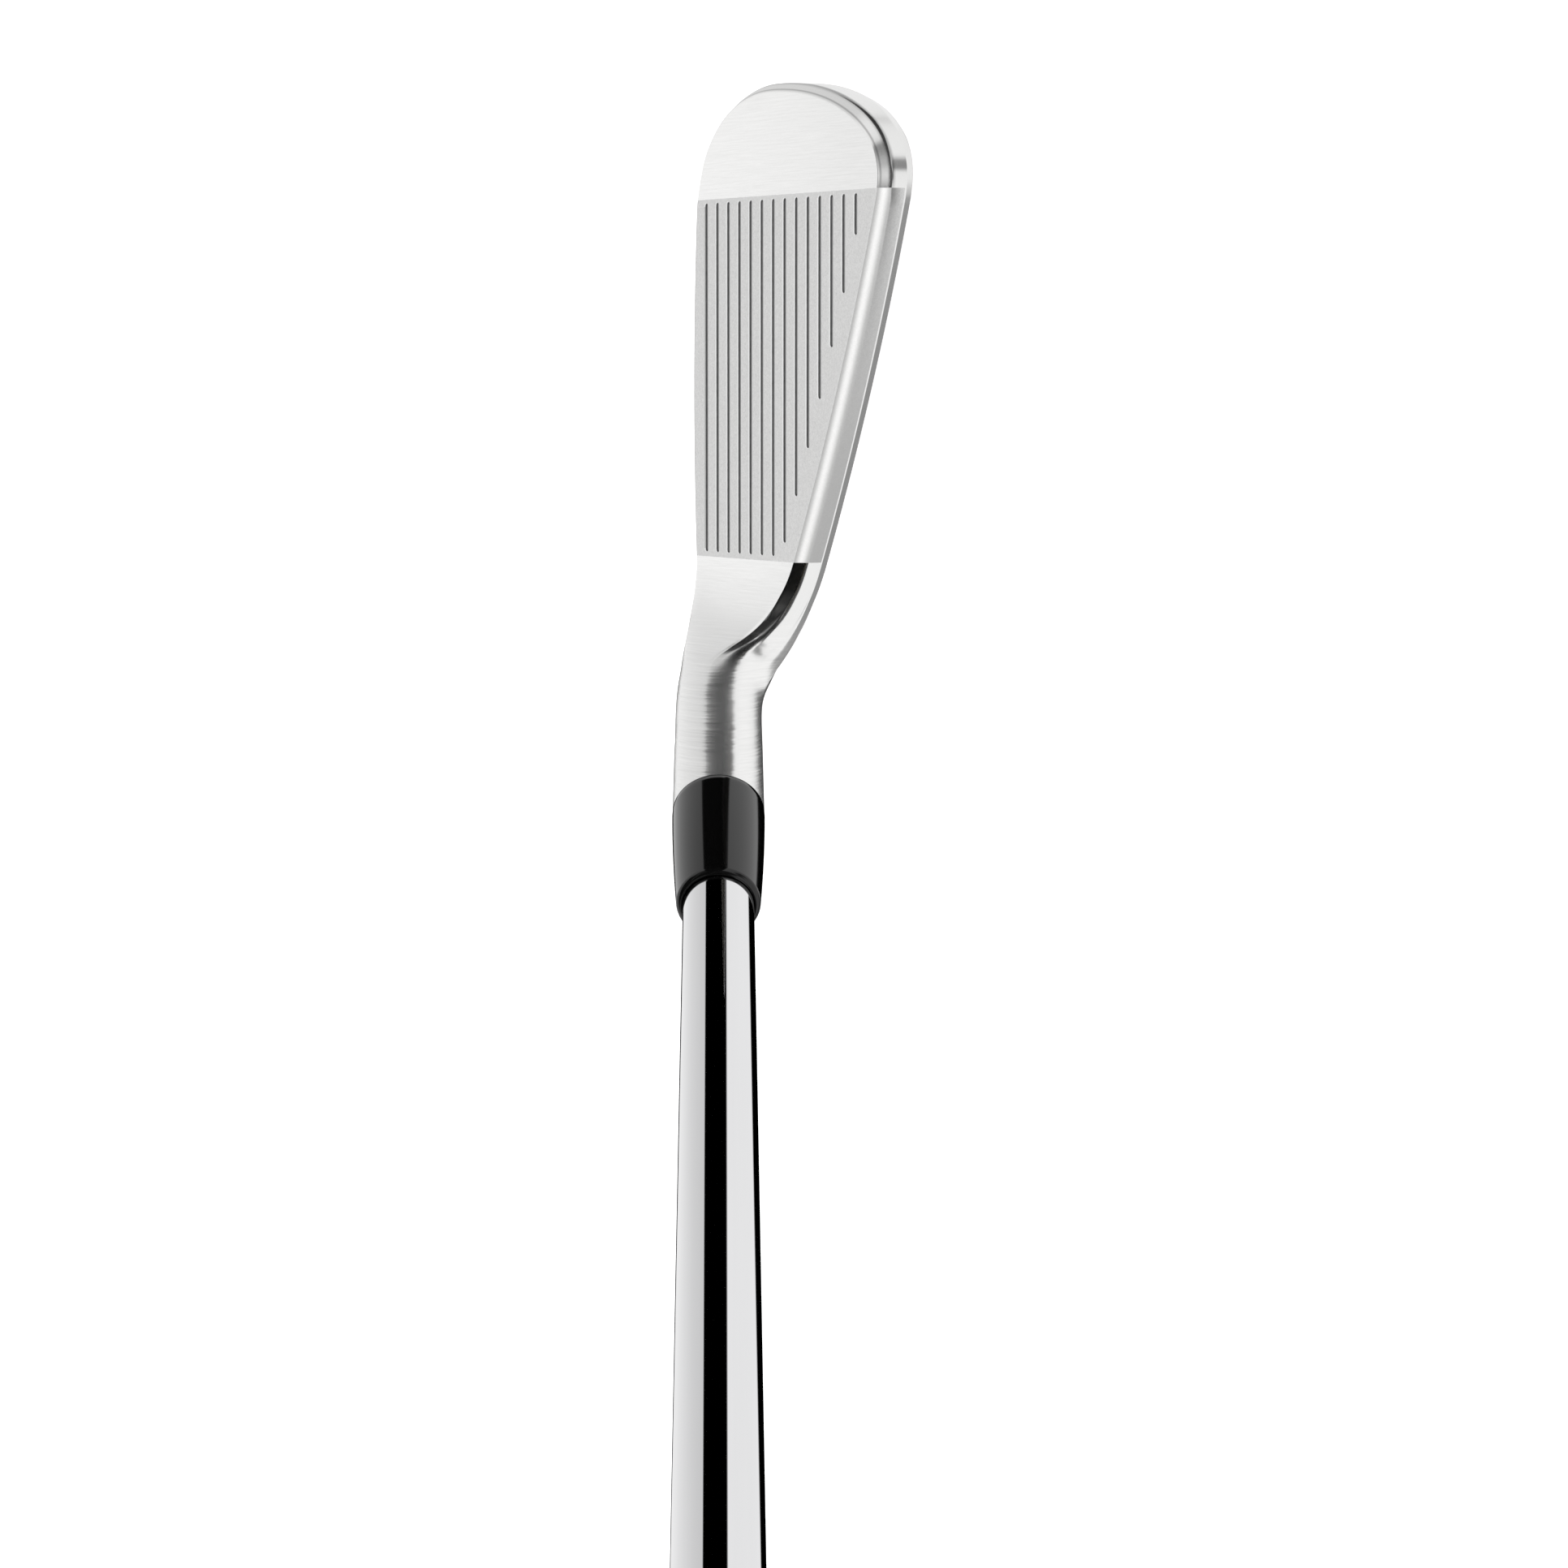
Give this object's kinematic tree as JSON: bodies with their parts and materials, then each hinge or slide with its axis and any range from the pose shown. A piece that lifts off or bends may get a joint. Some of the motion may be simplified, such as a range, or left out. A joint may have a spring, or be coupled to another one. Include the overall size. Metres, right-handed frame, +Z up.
{
  "type": "golf iron",
  "caption": "Right-handed mid-iron golf club at address: lofted steel head with score lines and a back cavity, black ferrule, chromed tapered steel shaft and a rubber grip.",
  "frame": {"origin": "middle of the hands on the grip, on the shaft axis, 100 mm below the butt cap", "axes": "+Z up with the sole on the ground at address, the shaft leaning 28 degrees from +Z towards +X; the face looks to -Y and up by its loft, the toe points to -X"},
  "size_m": [0.5382, 0.0404, 0.8585],
  "materials": {
    "head_steel": "brushed satin with a fine sandblasted hitting area and top line",
    "badge_metal": "brushed and dark anodised",
    "foam_tape": "matt double-sided tape",
    "epoxy_resin": "cured resin",
    "plug_brass": "as turned",
    "shaft_chrome": "mirror chrome plate",
    "ferrule_black": "polished black",
    "grip_tape": "paper-backed masking tape",
    "grip_rubber": "moulded, matt",
    "cap_rubber": "moulded, slightly smoother than the grip"
  },
  "bodies": {
    "root": {"iron_head": "head_steel", "cavity_badge": "badge_metal", "badge_adhesive": "foam_tape", "epoxy_sleeve": "epoxy_resin", "tip_weight_plug": "plug_brass", "shaft": "shaft_chrome", "ferrule": "ferrule_black", "grip_tape": "grip_tape", "grip_sleeve": "grip_rubber", "grip_cap": "cap_rubber"}
  },
  "joints": []
}
